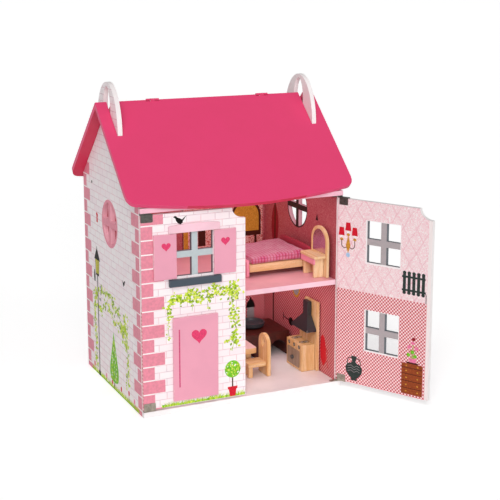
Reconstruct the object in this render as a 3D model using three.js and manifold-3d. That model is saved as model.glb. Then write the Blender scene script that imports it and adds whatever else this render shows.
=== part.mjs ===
// Wooden dollhouse with two front doors, a lifting roof front and loose furniture.
// Millimetres, +Z up, the front faces -Y, origin at the middle of the base's underside.
import * as THREE from 'three';
import { ConvexGeometry } from 'three/addons/geometries/ConvexGeometry.js';
import { mergeVertices } from 'three/addons/utils/BufferGeometryUtils.js';
import Module from 'manifold-3d';

const wasm = await Module();
wasm.setup();

// Carcass
const HALF_WIDTH = 161;
const FRONT_Y = -131;
const BACK_Y = 131;
const BOARD = 7;
const GAP = 0.3;
const WALL_FRONT_Y = FRONT_Y + BOARD;
const WALL_IN = HALF_WIDTH - BOARD;
const BASE_TOP = 8.5;
const MID_UNDER = 161;
const MID_TOP = 169;
const ATTIC_UNDER = 300;
const ATTIC_TOP = 307.5;

// Roof
const RIDGE_Y = 5;
const RIDGE_Z = 442;
const SLOPE = THREE.MathUtils.degToRad(42.3);
const ROOF_THICK = 7;
const ROOF_HALF = 179;
const SIDE_RUN = 168;
const CORNER_X = 164;
const CORNER_RUN = 189;
const EAVE_RUN = 204;
const HINGE_X = 90;
const KNUCKLE_R = 1.6;

// Carrying handle at the top of each gable
const HANDLE_HALF = 48;
const HANDLE_SPRING = RIDGE_Z - 44;
const HANDLE_RISE = 73;
const GRIP_HALF = 15.5;
const GRIP_RISE = 33;
const GRIP_Z = RIDGE_Z - 10;
const PORTHOLE_Z = 259;
const PORTHOLE_R = 32;
const BAR = 9.4;

// Doors
const DOOR_BACK_Y = -124.5;
const DOOR_LOW = 11.4;
const DOOR_HIGH = 297;
const DOOR_EDGE = 0.6;
const SCALLOP_W = 21;
const SCALLOP_H = 16;
const WINDOW_IN = 52;
const WINDOW_OUT = 108;
const UPPER_WINDOW = [205, 268];
const LOWER_WINDOW = [69, 131];
const PIVOT_X = HALF_WIDTH - 3;
const PIVOT_Y = FRONT_Y + 2.5;
const PIN_R = 1.3;
const PIN_HOLE_R = 1.7;
const OPEN_ANGLE = THREE.MathUtils.degToRad(118.5);
const BRACKET_IN = 142.7;
const BRACKET_H = 10;
const PLATE = 1;
const CHEEK = 0.8;

const colours = {
  white: 0xf4e9ea,
  rose: 0xf2a7be,
  pale: 0xf6cdd9,
  roof: 0xe0446e,
  wood: 0xe7bd86,
  metal: 0x9a9a96,
  slate: 0x5a6a78,
  dark: 0x3b3f42,
  gingham: 0xf08cb4,
  mirror: 0xb48cab,
};
const root = new THREE.Group();
root.name = 'dollhouse';

function solidOf(geometry) {
  const bare = new THREE.BufferGeometry();
  bare.setAttribute('position', geometry.getAttribute('position'));
  if (geometry.index) bare.setIndex(geometry.index);
  const welded = mergeVertices(bare, 1e-4);
  const mesh = new wasm.Mesh({
    numProp: 3,
    vertProperties: new Float32Array(welded.getAttribute('position').array),
    triVerts: new Uint32Array(welded.index.array),
  });
  return new wasm.Manifold(mesh);
}

function addPart(name, solid, colour, roughness = 0.6, metalness = 0) {
  const out = solid.getMesh();
  const geometry = new THREE.BufferGeometry();
  geometry.setAttribute('position', new THREE.BufferAttribute(new Float32Array(out.vertProperties), 3));
  geometry.setIndex(Array.from(out.triVerts));
  geometry.computeVertexNormals();
  const material = new THREE.MeshStandardMaterial({ color: colours[colour], roughness, metalness });
  const mesh = new THREE.Mesh(geometry, material);
  mesh.name = name;
  root.add(mesh);
}

function box(x0, x1, y0, y1, z0, z1) {
  const geometry = new THREE.BoxGeometry(x1 - x0, y1 - y0, z1 - z0);
  geometry.translate((x0 + x1) / 2, (y0 + y1) / 2, (z0 + z1) / 2);
  return solidOf(geometry);
}

function outline(points) {
  return new THREE.Shape(points.map(([a, b]) => new THREE.Vector2(a, b)));
}

function extrude(shape, depth, segments = 16) {
  return new THREE.ExtrudeGeometry(shape, { depth, bevelEnabled: false, curveSegments: segments });
}

// Flat plate whose outline lies in Y and Z and whose thickness runs from x0 to x1.
function plateX(shape, x0, x1, segments = 16) {
  const geometry = extrude(shape, x1 - x0, segments);
  geometry.applyMatrix4(new THREE.Matrix4().set(0, 0, 1, x0, 1, 0, 0, 0, 0, 1, 0, 0, 0, 0, 0, 1));
  return solidOf(geometry);
}

// Flat plate whose outline lies in X and Z and whose thickness runs from y0 to y1.
function plateY(shape, y0, y1, segments = 16) {
  const geometry = extrude(shape, y1 - y0, segments);
  geometry.rotateX(Math.PI / 2);
  geometry.translate(0, y1, 0);
  return solidOf(geometry);
}

// Flat plate whose outline lies in X and Y and whose thickness runs from z0 to z1.
function plateZ(shape, z0, z1, segments = 16) {
  const geometry = extrude(shape, z1 - z0, segments);
  geometry.translate(0, 0, z0);
  return solidOf(geometry);
}

function rod(radius, length, axis, centre, segments = 24) {
  const geometry = new THREE.CylinderGeometry(radius, radius, length, segments);
  if (axis === 'x') geometry.rotateZ(Math.PI / 2);
  if (axis === 'z') geometry.rotateX(Math.PI / 2);
  geometry.translate(...centre);
  return solidOf(geometry);
}

function ellipseShape(a, b, radiusA, radiusB) {
  const shape = new THREE.Shape();
  shape.absellipse(a, b, radiusA, radiusB, 0, Math.PI * 2, false, 0);
  return shape;
}

// Board with a flat foot and a round top, outline in two axes.
function archShape(a0, a1, b0, b1, rise) {
  const shape = new THREE.Shape();
  shape.moveTo(a0, b0);
  shape.lineTo(a1, b0);
  shape.lineTo(a1, b1 - rise);
  shape.absellipse((a0 + a1) / 2, b1 - rise, (a1 - a0) / 2, rise, 0, Math.PI, false, 0);
  shape.lineTo(a0, b0);
  return shape;
}

function roundedShape(a0, a1, b0, b1, r) {
  const shape = new THREE.Shape();
  shape.moveTo(a0 + r, b0);
  shape.lineTo(a1 - r, b0);
  shape.quadraticCurveTo(a1, b0, a1, b0 + r);
  shape.lineTo(a1, b1 - r);
  shape.quadraticCurveTo(a1, b1, a1 - r, b1);
  shape.lineTo(a0 + r, b1);
  shape.quadraticCurveTo(a0, b1, a0, b1 - r);
  shape.lineTo(a0, b0 + r);
  shape.quadraticCurveTo(a0, b0, a0 + r, b0);
  return shape;
}

// Height of the roof's underside above the ground at depth y, less the fitting gap.
function roofUnder(y) {
  return RIDGE_Z - Math.abs(y - RIDGE_Y) * Math.tan(SLOPE) - (ROOF_THICK + GAP) / Math.cos(SLOPE);
}

// Board that is full width along the front lip and fits between the side walls behind it.
function floorBoard(backY, z0, z1) {
  return plateZ(outline([
    [-HALF_WIDTH, FRONT_Y], [HALF_WIDTH, FRONT_Y], [HALF_WIDTH, WALL_FRONT_Y - GAP],
    [WALL_IN - GAP, WALL_FRONT_Y - GAP], [WALL_IN - GAP, backY], [-WALL_IN + GAP, backY],
    [-WALL_IN + GAP, WALL_FRONT_Y - GAP], [-HALF_WIDTH, WALL_FRONT_Y - GAP],
  ]), z0, z1);
}

function gableShape() {
  const shape = new THREE.Shape();
  shape.moveTo(WALL_FRONT_Y, 0);
  shape.lineTo(BACK_Y, 0);
  shape.lineTo(BACK_Y, roofUnder(BACK_Y));
  shape.lineTo(RIDGE_Y + HANDLE_HALF, roofUnder(RIDGE_Y + HANDLE_HALF));
  shape.lineTo(RIDGE_Y + HANDLE_HALF, HANDLE_SPRING);
  shape.absellipse(RIDGE_Y, HANDLE_SPRING, HANDLE_HALF, HANDLE_RISE, 0, Math.PI, false, 0);
  shape.lineTo(RIDGE_Y - HANDLE_HALF, roofUnder(RIDGE_Y - HANDLE_HALF));
  shape.lineTo(WALL_FRONT_Y, roofUnder(WALL_FRONT_Y));
  return shape;
}

function gable(x0, x1) {
  const wall = plateX(gableShape(), x0, x1, 28);
  const grip = plateX(ellipseShape(RIDGE_Y, GRIP_Z, GRIP_HALF, GRIP_RISE), x0 - 1, x1 + 1, 14);
  const mid = (x0 + x1) / 2;
  const glassHole = rod(PORTHOLE_R, 20, 'x', [mid, RIDGE_Y, PORTHOLE_Z], 48);
  const upright = box(x0 - 9, x1 + 9, RIDGE_Y - BAR / 2, RIDGE_Y + BAR / 2, 200, 320);
  const cross = box(x0 - 9, x1 + 9, RIDGE_Y - 50, RIDGE_Y + 50, PORTHOLE_Z - BAR / 2, PORTHOLE_Z + BAR / 2);
  return wall.subtract(grip).subtract(glassHole.subtract(upright).subtract(cross));
}

function carcass() {
  addPart('base_board', floorBoard(BACK_Y - BOARD - GAP, 0, BASE_TOP), 'white');
  addPart('left_gable', gable(-HALF_WIDTH, -WALL_IN), 'white');
  addPart('right_gable', gable(WALL_IN, HALF_WIDTH), 'white');
  const inner = WALL_IN - GAP;
  addPart('back_wall', box(-inner, inner, BACK_Y - BOARD, BACK_Y, 0, ATTIC_TOP), 'pale');
  const midBack = BACK_Y - BOARD - GAP;
  addPart('middle_floor', box(-inner, inner, WALL_FRONT_Y, midBack, MID_UNDER, MID_TOP), 'pale');
  addPart('attic_floor', floorBoard(midBack, ATTIC_UNDER, ATTIC_TOP), 'rose');
}

// Slanted roof panel with rounded lower corners and a bowed eave. side is -1 front, 1 back.
function roofPanel(side) {
  const shape = new THREE.Shape();
  shape.moveTo(-ROOF_HALF, 0);
  shape.lineTo(-ROOF_HALF, side * SIDE_RUN);
  shape.quadraticCurveTo(-ROOF_HALF, side * (CORNER_RUN - 1), -CORNER_X, side * CORNER_RUN);
  shape.quadraticCurveTo(0, side * (2 * EAVE_RUN - CORNER_RUN), CORNER_X, side * CORNER_RUN);
  shape.quadraticCurveTo(ROOF_HALF, side * (CORNER_RUN - 1), ROOF_HALF, side * SIDE_RUN);
  shape.lineTo(ROOF_HALF, 0);
  const geometry = extrude(shape, ROOF_THICK, 14);
  geometry.translate(0, 0, -ROOF_THICK);
  geometry.rotateX(-side * SLOPE);
  geometry.translate(0, RIDGE_Y, RIDGE_Z);
  let panel = solidOf(geometry);
  const near = RIDGE_Y + side * 0.15;
  const far = RIDGE_Y - side * 40;
  panel = panel.subtract(box(-200, 200, Math.min(near, far), Math.max(near, far), 380, 460));
  const slotEnd = RIDGE_Y + side * (HANDLE_HALF + 0.45);
  const slotTop = RIDGE_Y - side * 5;
  for (const x of [-HALF_WIDTH, WALL_IN]) {
    const y0 = Math.min(slotEnd, slotTop);
    const y1 = Math.max(slotEnd, slotTop);
    panel = panel.subtract(box(x - 0.4, x + BOARD + 0.4, y0, y1, 370, 460));
  }
  for (const x of [-HINGE_X, HINGE_X]) {
    const y0 = Math.min(RIDGE_Y, RIDGE_Y + side * 2.3);
    const y1 = Math.max(RIDGE_Y, RIDGE_Y + side * 2.3);
    panel = panel.subtract(box(x - 10.5, x + 10.5, y0, y1, RIDGE_Z - 11, RIDGE_Z + 4));
  }
  return panel;
}

function roofHinge(name, x) {
  const top = RIDGE_Z - 2.1;
  const low = RIDGE_Z - 9.2;
  const pin = rod(0.8, 20, 'x', [x, RIDGE_Y, RIDGE_Z], 16);
  let fixed = box(x - 10, x + 10, RIDGE_Y + 0.5, RIDGE_Y + 1.5, low, top).add(pin);
  for (const side of [-1, 1]) {
    const centre = x + side * 6.8;
    fixed = fixed.add(rod(KNUCKLE_R, 6.4, 'x', [centre, RIDGE_Y, RIDGE_Z]));
    fixed = fixed.add(box(centre - 3.2, centre + 3.2, RIDGE_Y + 0.5, RIDGE_Y + 1.5, top - 1, RIDGE_Z));
  }
  addPart(`roof_hinge_${name}_fixed`, fixed, 'metal', 0.35, 0.9);
  let moving = rod(KNUCKLE_R, 6.6, 'x', [x, RIDGE_Y, RIDGE_Z]);
  moving = moving.add(box(x - 3.3, x + 3.3, RIDGE_Y - 1.5, RIDGE_Y - 0.5, top - 1, RIDGE_Z));
  moving = moving.add(box(x - 10, x + 10, RIDGE_Y - 1.5, RIDGE_Y - 0.5, low, top));
  moving = moving.subtract(rod(1.1, 12, 'x', [x, RIDGE_Y, RIDGE_Z], 16));
  addPart(`roof_hinge_${name}_moving`, moving, 'metal', 0.35, 0.9);
}

function roof() {
  addPart('roof_back_panel', roofPanel(1), 'roof');
  addPart('roof_front_panel', roofPanel(-1), 'roof');
  roofHinge('left', -HINGE_X);
  roofHinge('right', HINGE_X);
}

// Plan outline of a door on the left side, with the inner hinge-side corner rounded.
function doorPlan(x0, x1) {
  const shape = new THREE.Shape();
  shape.moveTo(x0, FRONT_Y);
  shape.lineTo(x1, FRONT_Y);
  shape.lineTo(x1, DOOR_BACK_Y);
  shape.lineTo(x0 + 2.5, DOOR_BACK_Y);
  shape.absarc(x0 + 2.5, DOOR_BACK_Y - 2.5, 2.5, Math.PI / 2, Math.PI, false);
  return shape;
}

function doorFace() {
  const shape = new THREE.Shape();
  shape.moveTo(-HALF_WIDTH, DOOR_LOW);
  shape.lineTo(-DOOR_EDGE, DOOR_LOW);
  shape.lineTo(-DOOR_EDGE, DOOR_HIGH - SCALLOP_H);
  shape.absellipse(-DOOR_EDGE, DOOR_HIGH, SCALLOP_W, SCALLOP_H, -Math.PI / 2, Math.PI, true, 0);
  shape.lineTo(-HALF_WIDTH, DOOR_HIGH);
  return shape;
}

function windowPanes(z0, z1) {
  const midX = -(WINDOW_IN + WINDOW_OUT) / 2;
  const midZ = (z0 + z1) / 2;
  const hole = box(-WINDOW_OUT, -WINDOW_IN, -140, -115, z0, z1);
  const upright = box(midX - BAR / 2, midX + BAR / 2, -141, -114, z0 - 1, z1 + 1);
  const cross = box(-WINDOW_OUT - 1, -WINDOW_IN + 1, -141, -114, midZ - BAR / 2, midZ + BAR / 2);
  return hole.subtract(upright).subtract(cross);
}

// Door panel built as the left one. windows is a list of height ranges.
function doorPanel(windows) {
  let door = plateY(doorFace(), FRONT_Y, DOOR_BACK_Y, 12);
  door = door.intersect(plateZ(doorPlan(-HALF_WIDTH, -DOOR_EDGE), 0, 300, 8));
  for (const [z0, z1] of windows) door = door.subtract(windowPanes(z0, z1));
  const deep = CHEEK + GAP;
  const inner = -BRACKET_IN + GAP;
  for (const [z0, z1] of [[0, DOOR_LOW + BRACKET_H + GAP], [DOOR_HIGH - BRACKET_H - GAP, 310]]) {
    door = door.subtract(box(-170, inner, FRONT_Y - 5, FRONT_Y + deep, z0, z1));
    door = door.subtract(box(-170, inner, DOOR_BACK_Y - deep, DOOR_BACK_Y + 5, z0, z1));
  }
  door = door.subtract(rod(PIN_HOLE_R, 16, 'z', [-PIVOT_X, PIVOT_Y, DOOR_LOW]));
  return door.subtract(rod(PIN_HOLE_R, 16, 'z', [-PIVOT_X, PIVOT_Y, DOOR_HIGH]));
}

// Metal channel that grips a corner of the left door. dir is 1 at the foot, -1 at the head.
function pivotBracket(dir) {
  const edge = dir > 0 ? DOOR_LOW : DOOR_HIGH;
  const place = (reach) => edge + dir * reach;
  const span = (from, to) => [Math.min(place(from), place(to)), Math.max(place(from), place(to))];
  const flange = plateZ(doorPlan(-HALF_WIDTH, -BRACKET_IN), ...span(-GAP, -GAP - PLATE), 8);
  const [z0, z1] = span(-GAP - PLATE, BRACKET_H);
  const face = roundedShape(-HALF_WIDTH + 0.4, -BRACKET_IN, z0, z1, 2);
  const outer = plateY(face, FRONT_Y, FRONT_Y + CHEEK, 4);
  const inner = box(-HALF_WIDTH + 3.4, -BRACKET_IN, DOOR_BACK_Y - CHEEK, DOOR_BACK_Y, z0, z1);
  const hole = rod(PIN_HOLE_R, 30, 'z', [-PIVOT_X, PIVOT_Y, edge]);
  return flange.add(outer).add(inner).subtract(hole);
}

// Fixed plate with the pivot pin. dir is 1 on the base board, -1 under the attic floor.
function pivotPlate(dir) {
  const face = dir > 0 ? BASE_TOP : ATTIC_UNDER;
  const near = face + dir * GAP;
  const far = near + dir * PLATE;
  const plate = box(-HALF_WIDTH + 0.5, -BRACKET_IN - 2, FRONT_Y + 0.4, WALL_FRONT_Y - 0.6,
    Math.min(near, far), Math.max(near, far));
  const pin = rod(PIN_R, 8, 'z', [-PIVOT_X, PIVOT_Y, near + dir * 4.2], 20);
  return plate.add(pin);
}

function mirrorX(solid) {
  return solid.mirror([1, 0, 0]);
}

// Takes a piece built closed on the left to the right door, standing open.
function openRight(solid) {
  const turned = mirrorX(solid).translate([-PIVOT_X, -PIVOT_Y, 0]);
  return turned.rotate([0, 0, THREE.MathUtils.radToDeg(OPEN_ANGLE)]).translate([PIVOT_X, PIVOT_Y, 0]);
}

function onDoor(x0, x1, thick, z0, z1) {
  return box(x0, x1, FRONT_Y - GAP - thick, FRONT_Y - GAP, z0, z1);
}

function lintelBlock() {
  const shape = new THREE.Shape();
  shape.moveTo(-120, 268.6);
  shape.lineTo(-42, 268.6);
  shape.lineTo(-42, 279);
  shape.quadraticCurveTo(-81, 283.5, -120, 279);
  return plateY(shape, FRONT_Y - GAP - 4, FRONT_Y - GAP, 10);
}

function doors() {
  addPart('left_door', doorPanel([UPPER_WINDOW]), 'white');
  addPart('left_door_lintel', lintelBlock(), 'pale');
  addPart('left_door_sill', onDoor(-120.5, -40.5, 6, 191, 201.5), 'slate');
  addPart('left_shutter_outer', onDoor(-143, -108.5, 3, 202.5, 268), 'rose');
  addPart('left_shutter_inner', onDoor(-51, -16.5, 3, 202.5, 268), 'rose');
  addPart('front_door_panel', onDoor(-115.5, -45.5, 3.2, 19.5, 144.5), 'rose');
  addPart('right_door', openRight(doorPanel([UPPER_WINDOW, LOWER_WINDOW])), 'white');
  addPart('right_door_upper_sill', openRight(onDoor(-120.5, -42.5, 6, 191, 201.5)), 'slate');
  addPart('right_door_lower_sill', openRight(onDoor(-120.5, -42.5, 6, 56, 66.5)), 'slate');
  for (const [end, dir] of [['bottom', 1], ['top', -1]]) {
    addPart(`left_${end}_bracket`, pivotBracket(dir), 'metal', 0.4, 0.9);
    addPart(`right_${end}_bracket`, openRight(pivotBracket(dir)), 'metal', 0.4, 0.9);
    addPart(`left_${end}_pivot`, pivotPlate(dir), 'metal', 0.4, 0.9);
    addPart(`right_${end}_pivot`, mirrorX(pivotPlate(dir)), 'metal', 0.4, 0.9);
  }
}

// Double bed, its head to the right. The pad is thicker at the head.
function bed() {
  const foot = MID_TOP + GAP;
  const x0 = 34;
  const x1 = 146;
  const y0 = -61;
  const y1 = 40;
  addPart('bed_footboard', plateX(roundedShape(y0, y1, foot, foot + 27, 5), x0, x0 + 5), 'rose');
  const head = new THREE.Shape();
  head.moveTo(y0, foot);
  head.lineTo(y1, foot);
  head.lineTo(y1, foot + 37);
  head.quadraticCurveTo((y0 + y1) / 2, foot + 41, y0, foot + 37);
  addPart('bed_headboard', plateX(head, x1 - 5, x1), 'rose');
  const inX0 = x0 + 5 + GAP;
  const inX1 = x1 - 5 - GAP;
  const railTop = foot + 19.2;
  addPart('bed_front_rail', box(inX0, inX1, y0, y0 + 5, foot + 8, railTop), 'wood');
  addPart('bed_back_rail', box(inX0, inX1, y1 - 5, y1, foot + 8, railTop), 'wood');
  addPart('bed_base', box(inX0, inX1, y0 + 5 + GAP, y1 - 5 - GAP, foot + 14, railTop), 'wood');
  const pad = railTop + GAP;
  const side = outline([[inX0 + 0.7, pad], [inX1 - 0.7, pad], [inX1 - 0.7, pad + 15], [inX0 + 0.7, pad + 9]]);
  addPart('mattress', plateY(side, y0 + 1, y1 - 1), 'gingham', 0.9);
}

// Dressing table facing the left, its arched board with the mirror against the right wall.
function dressingTable() {
  const foot = MID_TOP + GAP;
  const x0 = 127.5;
  const x1 = 148.5;
  const y0 = -113;
  const y1 = -62;
  const board = x1 - 4.5;
  const mirrorArch = (inset) =>
    archShape(y0 + 5 + inset, y1 - 5 - inset, foot + 36 + inset, foot + 72 - inset, 19 - inset);
  const pocket = plateX(mirrorArch(0), board - 1, board + 1.8);
  const tall = plateX(archShape(y0, y1, foot, foot + 77, 23), board, x1);
  addPart('dressing_table_board', tall.subtract(pocket), 'wood');
  addPart('dressing_table_mirror', plateX(mirrorArch(GAP), board + 0.5, board + 1.5), 'mirror', 0.1, 0.6);
  const back = board - GAP;
  const sideTop = foot + 30.5;
  addPart('dressing_table_front_side', box(x0, back, y0 + 9, y0 + 14, foot, sideTop), 'wood');
  addPart('dressing_table_back_side', box(x0, back, y1 - 10, y1 - 5, foot, sideTop), 'wood');
  const top = sideTop + GAP;
  const topOutline = roundedShape(x0 - 3.5, back, y0 + 1, y1 - 1, 3);
  addPart('dressing_table_top', plateZ(topOutline, top, top + 4), 'wood');
  const front = box(x0 - 2.8, x0 - GAP, y0 + 5, y1 - 3, sideTop - 9, sideTop);
  const tray = box(x0 - 1, back - 2, y0 + 14 + GAP, y1 - 10 - GAP, sideTop - 9, sideTop);
  addPart('dressing_table_drawer', front.add(tray), 'rose');
}

// Cooker against the right wall, with its tall board and extractor hood.
function cooker() {
  const foot = BASE_TOP + GAP;
  const x0 = 124;
  const x1 = 152;
  const y0 = -72;
  const y1 = -20;
  const board = x1 - 5;
  const tall = outline([
    [y0 - 6, foot], [y1, foot], [y1, foot + 60], [y1 - 17, foot + 95], [y1 - 17, foot + 112],
    [y0 - 6, foot + 112],
  ]);
  addPart('cooker_board', plateX(tall, board, x1), 'wood');
  const back = board - GAP;
  addPart('cooker_body', box(x0, back, y0, y1, foot, foot + 43), 'wood');
  const hob = foot + 43 + GAP;
  const hobOutline = roundedShape(x0 + 1.5, back - 1, y0 + 2, y1 - 2, 2);
  addPart('cooker_hob', plateZ(hobOutline, hob, hob + 1, 4), 'wood', 0.4);
  const front = x0 - GAP;
  const ovenDoor = roundedShape(y0 + 6, y1 - 6, foot + 5, foot + 32, 2);
  addPart('oven_door', plateX(ovenDoor, front - 1.6, front, 4), 'slate');
  addPart('oven_knob', rod(3.2, 3, 'x', [front - 1.6 - GAP - 1.5, (y0 + y1) / 2, foot + 18]), 'dark', 0.4);
  const corners = [];
  for (const [x, low, high, z] of [[back - 17, y0 - 6, y1 - 4, 64.5], [back - 17, y0 - 6, y1 - 4, 68],
    [back - 7, y0 + 11, y1 - 25, 88]]) {
    for (const y of [low, high]) {
      corners.push(new THREE.Vector3(x, y, foot + z), new THREE.Vector3(back, y, foot + z));
    }
  }
  const duct = box(back - 7, back, y0 + 11, y1 - 25, foot + 86, foot + 110);
  addPart('extractor_hood', solidOf(new ConvexGeometry(corners)).add(duct), 'dark', 0.4);
}

// Chair with a tall arched back, its seat pushed under the table on its left.
function chair() {
  const foot = BASE_TOP + GAP;
  const y0 = -68.5;
  const y1 = -35.5;
  const mid = (y0 + y1) / 2;
  const back = plateX(archShape(y0, y1, foot, foot + 66, 16), 66, 72);
  const grip = plateX(ellipseShape(mid, foot + 52, 6, 8), 60, 76, 12);
  addPart('chair_back', back.subtract(grip), 'wood');
  const seatTop = foot + 23.4;
  addPart('chair_seat', box(35.5, 66 - GAP, y0 + 4, y1 - 4, seatTop - 7, seatTop), 'wood');
  const leg = box(36.5, 43.5, y0 + 5, y1 - 5, foot, seatTop - 7 - GAP);
  const legArch = plateX(archShape(mid - 6, mid + 6, foot - 5, foot + 9, 5), 30, 50);
  addPart('chair_front_leg', leg.subtract(legArch), 'wood');
}

function table() {
  const foot = BASE_TOP + GAP;
  const x0 = -24;
  const x1 = 60;
  const y0 = -44;
  const y1 = 12;
  const top = foot + 41;
  addPart('table_top', plateZ(roundedShape(x0, x1, y0, y1, 5), top - 9, top, 4), 'pale');
  const under = top - 9 - GAP;
  for (const [name, x] of [['left', x0 + 4], ['right', x1 - 13]]) {
    const panel = box(x, x + 9, y0 + 14, y1 - 3, foot, under);
    const arch = plateX(archShape(y0 + 22, y1 - 11, foot - 5, foot + 20, 10), x - 5, x + 14);
    addPart(`table_${name}_trestle`, panel.subtract(arch), 'wood');
  }
}

// Low counter with two arched openings and a round basin on top, along the back.
function counter() {
  const foot = BASE_TOP + GAP;
  const x0 = 50;
  const x1 = 148;
  const y0 = 18;
  const y1 = 93;
  let body = box(x0, x1, y0, y1, foot, foot + 40);
  for (const a of [x0 + 8, x1 - 34]) {
    body = body.subtract(plateY(archShape(a, a + 28, foot - 5, foot + 26, 14), y0 - 5, y1 + 5));
  }
  addPart('counter', body, 'wood');
  const deck = foot + 40 + GAP;
  const bowl = [[0, 0], [17, 0], [21, 3], [22, 9], [20, 9], [18.5, 4.5], [15, 2.2], [0, 2.2], [0, 0]];
  const turned = new THREE.LatheGeometry(bowl.map(([r, z]) => new THREE.Vector2(r, z)), 36);
  turned.rotateX(Math.PI / 2);
  turned.translate(100, 62, deck);
  addPart('basin', solidOf(turned), 'dark', 0.4);
}

carcass();
roof();
doors();
bed();
dressingTable();
cooker();
chair();
table();
counter();

export default root;
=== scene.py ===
"""Looks of a wooden dollhouse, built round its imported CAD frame.

Blender works in metres. Sizes are given in millimetres, times MM where a mesh is made.
Printed figures are thin closed slabs of ink on the boards. Wallpapers and bricks are node materials.
"""
import math
import random

import bmesh
import bpy
from mathutils import Matrix, Vector
from mathutils.geometry import tessellate_polygon


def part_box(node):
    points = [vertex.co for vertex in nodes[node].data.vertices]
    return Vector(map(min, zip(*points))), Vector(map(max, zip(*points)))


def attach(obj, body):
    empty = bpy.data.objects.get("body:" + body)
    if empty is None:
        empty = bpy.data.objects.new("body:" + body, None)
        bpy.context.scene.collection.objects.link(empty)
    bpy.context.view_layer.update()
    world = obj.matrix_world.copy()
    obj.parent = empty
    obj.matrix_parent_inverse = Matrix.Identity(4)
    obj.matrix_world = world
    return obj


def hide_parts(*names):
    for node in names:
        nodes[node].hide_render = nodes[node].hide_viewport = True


MM = 0.001
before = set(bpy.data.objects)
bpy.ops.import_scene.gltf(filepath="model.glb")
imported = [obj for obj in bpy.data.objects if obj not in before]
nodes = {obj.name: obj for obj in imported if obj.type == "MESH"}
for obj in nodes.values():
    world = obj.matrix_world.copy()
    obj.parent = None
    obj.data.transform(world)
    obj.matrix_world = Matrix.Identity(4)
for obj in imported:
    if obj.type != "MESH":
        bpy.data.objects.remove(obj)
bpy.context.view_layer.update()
random.seed(11)


def span(node):
    """Lowest and highest corner of a CAD node, in millimetres."""
    low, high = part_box(node)
    return low / MM, high / MM


def link(name, data):
    """New object in the scene."""
    piece = bpy.data.objects.new(name, data)
    bpy.context.scene.collection.objects.link(piece)
    return piece


# Colours, as sRGB
WHITE = "F7EFEF"
BRICK_WHITE = "FBF3F4"
JOINT_GREY = "DCC3CC"
QUOIN = "E5899C"
PINK = "EAA0B5"
PALE_PINK = "F7C9D6"
HEART = "E2416E"
ROOF_PINK = "E63B70"
# The roof pink made a little lighter, as painted light on the roof's end faces.
ROOF_EDGE_LIT = "EA4176"
WOOD_LIGHT = "F1CB9E"
WOOD_DARK = "D09C5E"
SLATE = "3F4B57"
INK_BLACK = "0D0A08"
LEAF = ("B4D42E", "DDE95C", "86A824")
GREEN = "63B81E"
RED = "D3182E"

# Places shared with the CAD part, in millimetres
OUTER_X = 161
WALL = 7
FRONT_Y = -131
BACK_Y = 131
INNER_X = OUTER_X - WALL
RIDGE = (5, 442)
PORTHOLE_Z = 259
PORTHOLE_R = 32
FLOOR_LINE = 158
ROW = 20.6
FIRST_ROW = 8.6
DOOR_FIRST_ROW = 14.1
PIVOT = Vector((158, -128.5, 0))
WINDOW_U = (50, 106)
UPPER_WINDOW_Z = (205, 268)
LOWER_WINDOW_Z = (69, 131)


# ---------------------------------------------------------------- node sums

def linear(code):
    """Linear RGBA of an sRGB hex code."""
    out = []
    for i in (0, 2, 4):
        c = int(code[i:i + 2], 16) / 255
        out.append(c / 12.92 if c <= 0.04045 else ((c + 0.055) / 1.055) ** 2.4)
    return (*out, 1.0)


class Num:
    """A number in a material's node tree, with the usual sums."""

    def __init__(self, tree, socket):
        self.tree = tree
        self.socket = socket

    def calc(self, operation, *others):
        node = self.tree.nodes.new("ShaderNodeMath")
        node.operation = operation
        for slot, value in enumerate((self, *others)):
            if isinstance(value, Num):
                self.tree.links.new(value.socket, node.inputs[slot])
            else:
                node.inputs[slot].default_value = value
        return Num(self.tree, node.outputs[0])

    def __add__(self, other):
        return self.calc("ADD", other)

    def __sub__(self, other):
        return self.calc("SUBTRACT", other)

    def __mul__(self, other):
        return self.calc("MULTIPLY", other)

    def __truediv__(self, other):
        return self.calc("DIVIDE", other)

    def __gt__(self, other):
        return self.calc("GREATER_THAN", other)

    def __lt__(self, other):
        return self.calc("LESS_THAN", other)

    def flip(self):
        return self.calc("MULTIPLY_ADD", -1.0, 1.0)

    def wrap(self, period):
        return self.calc("FLOORED_MODULO", period)

    def floor(self):
        return self.calc("FLOOR")

    def size(self):
        return self.calc("ABSOLUTE")

    def least(self, other):
        return self.calc("MINIMUM", other)

    def most(self, other):
        return self.calc("MAXIMUM", other)

    def ramp(self, low, high):
        """0 below low, 1 above high, smooth between them."""
        node = self.tree.nodes.new("ShaderNodeMapRange")
        node.interpolation_type = "SMOOTHSTEP"
        self.tree.links.new(self.socket, node.inputs["Value"])
        node.inputs["From Min"].default_value = low
        node.inputs["From Max"].default_value = high
        return Num(self.tree, node.outputs["Result"])


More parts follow.
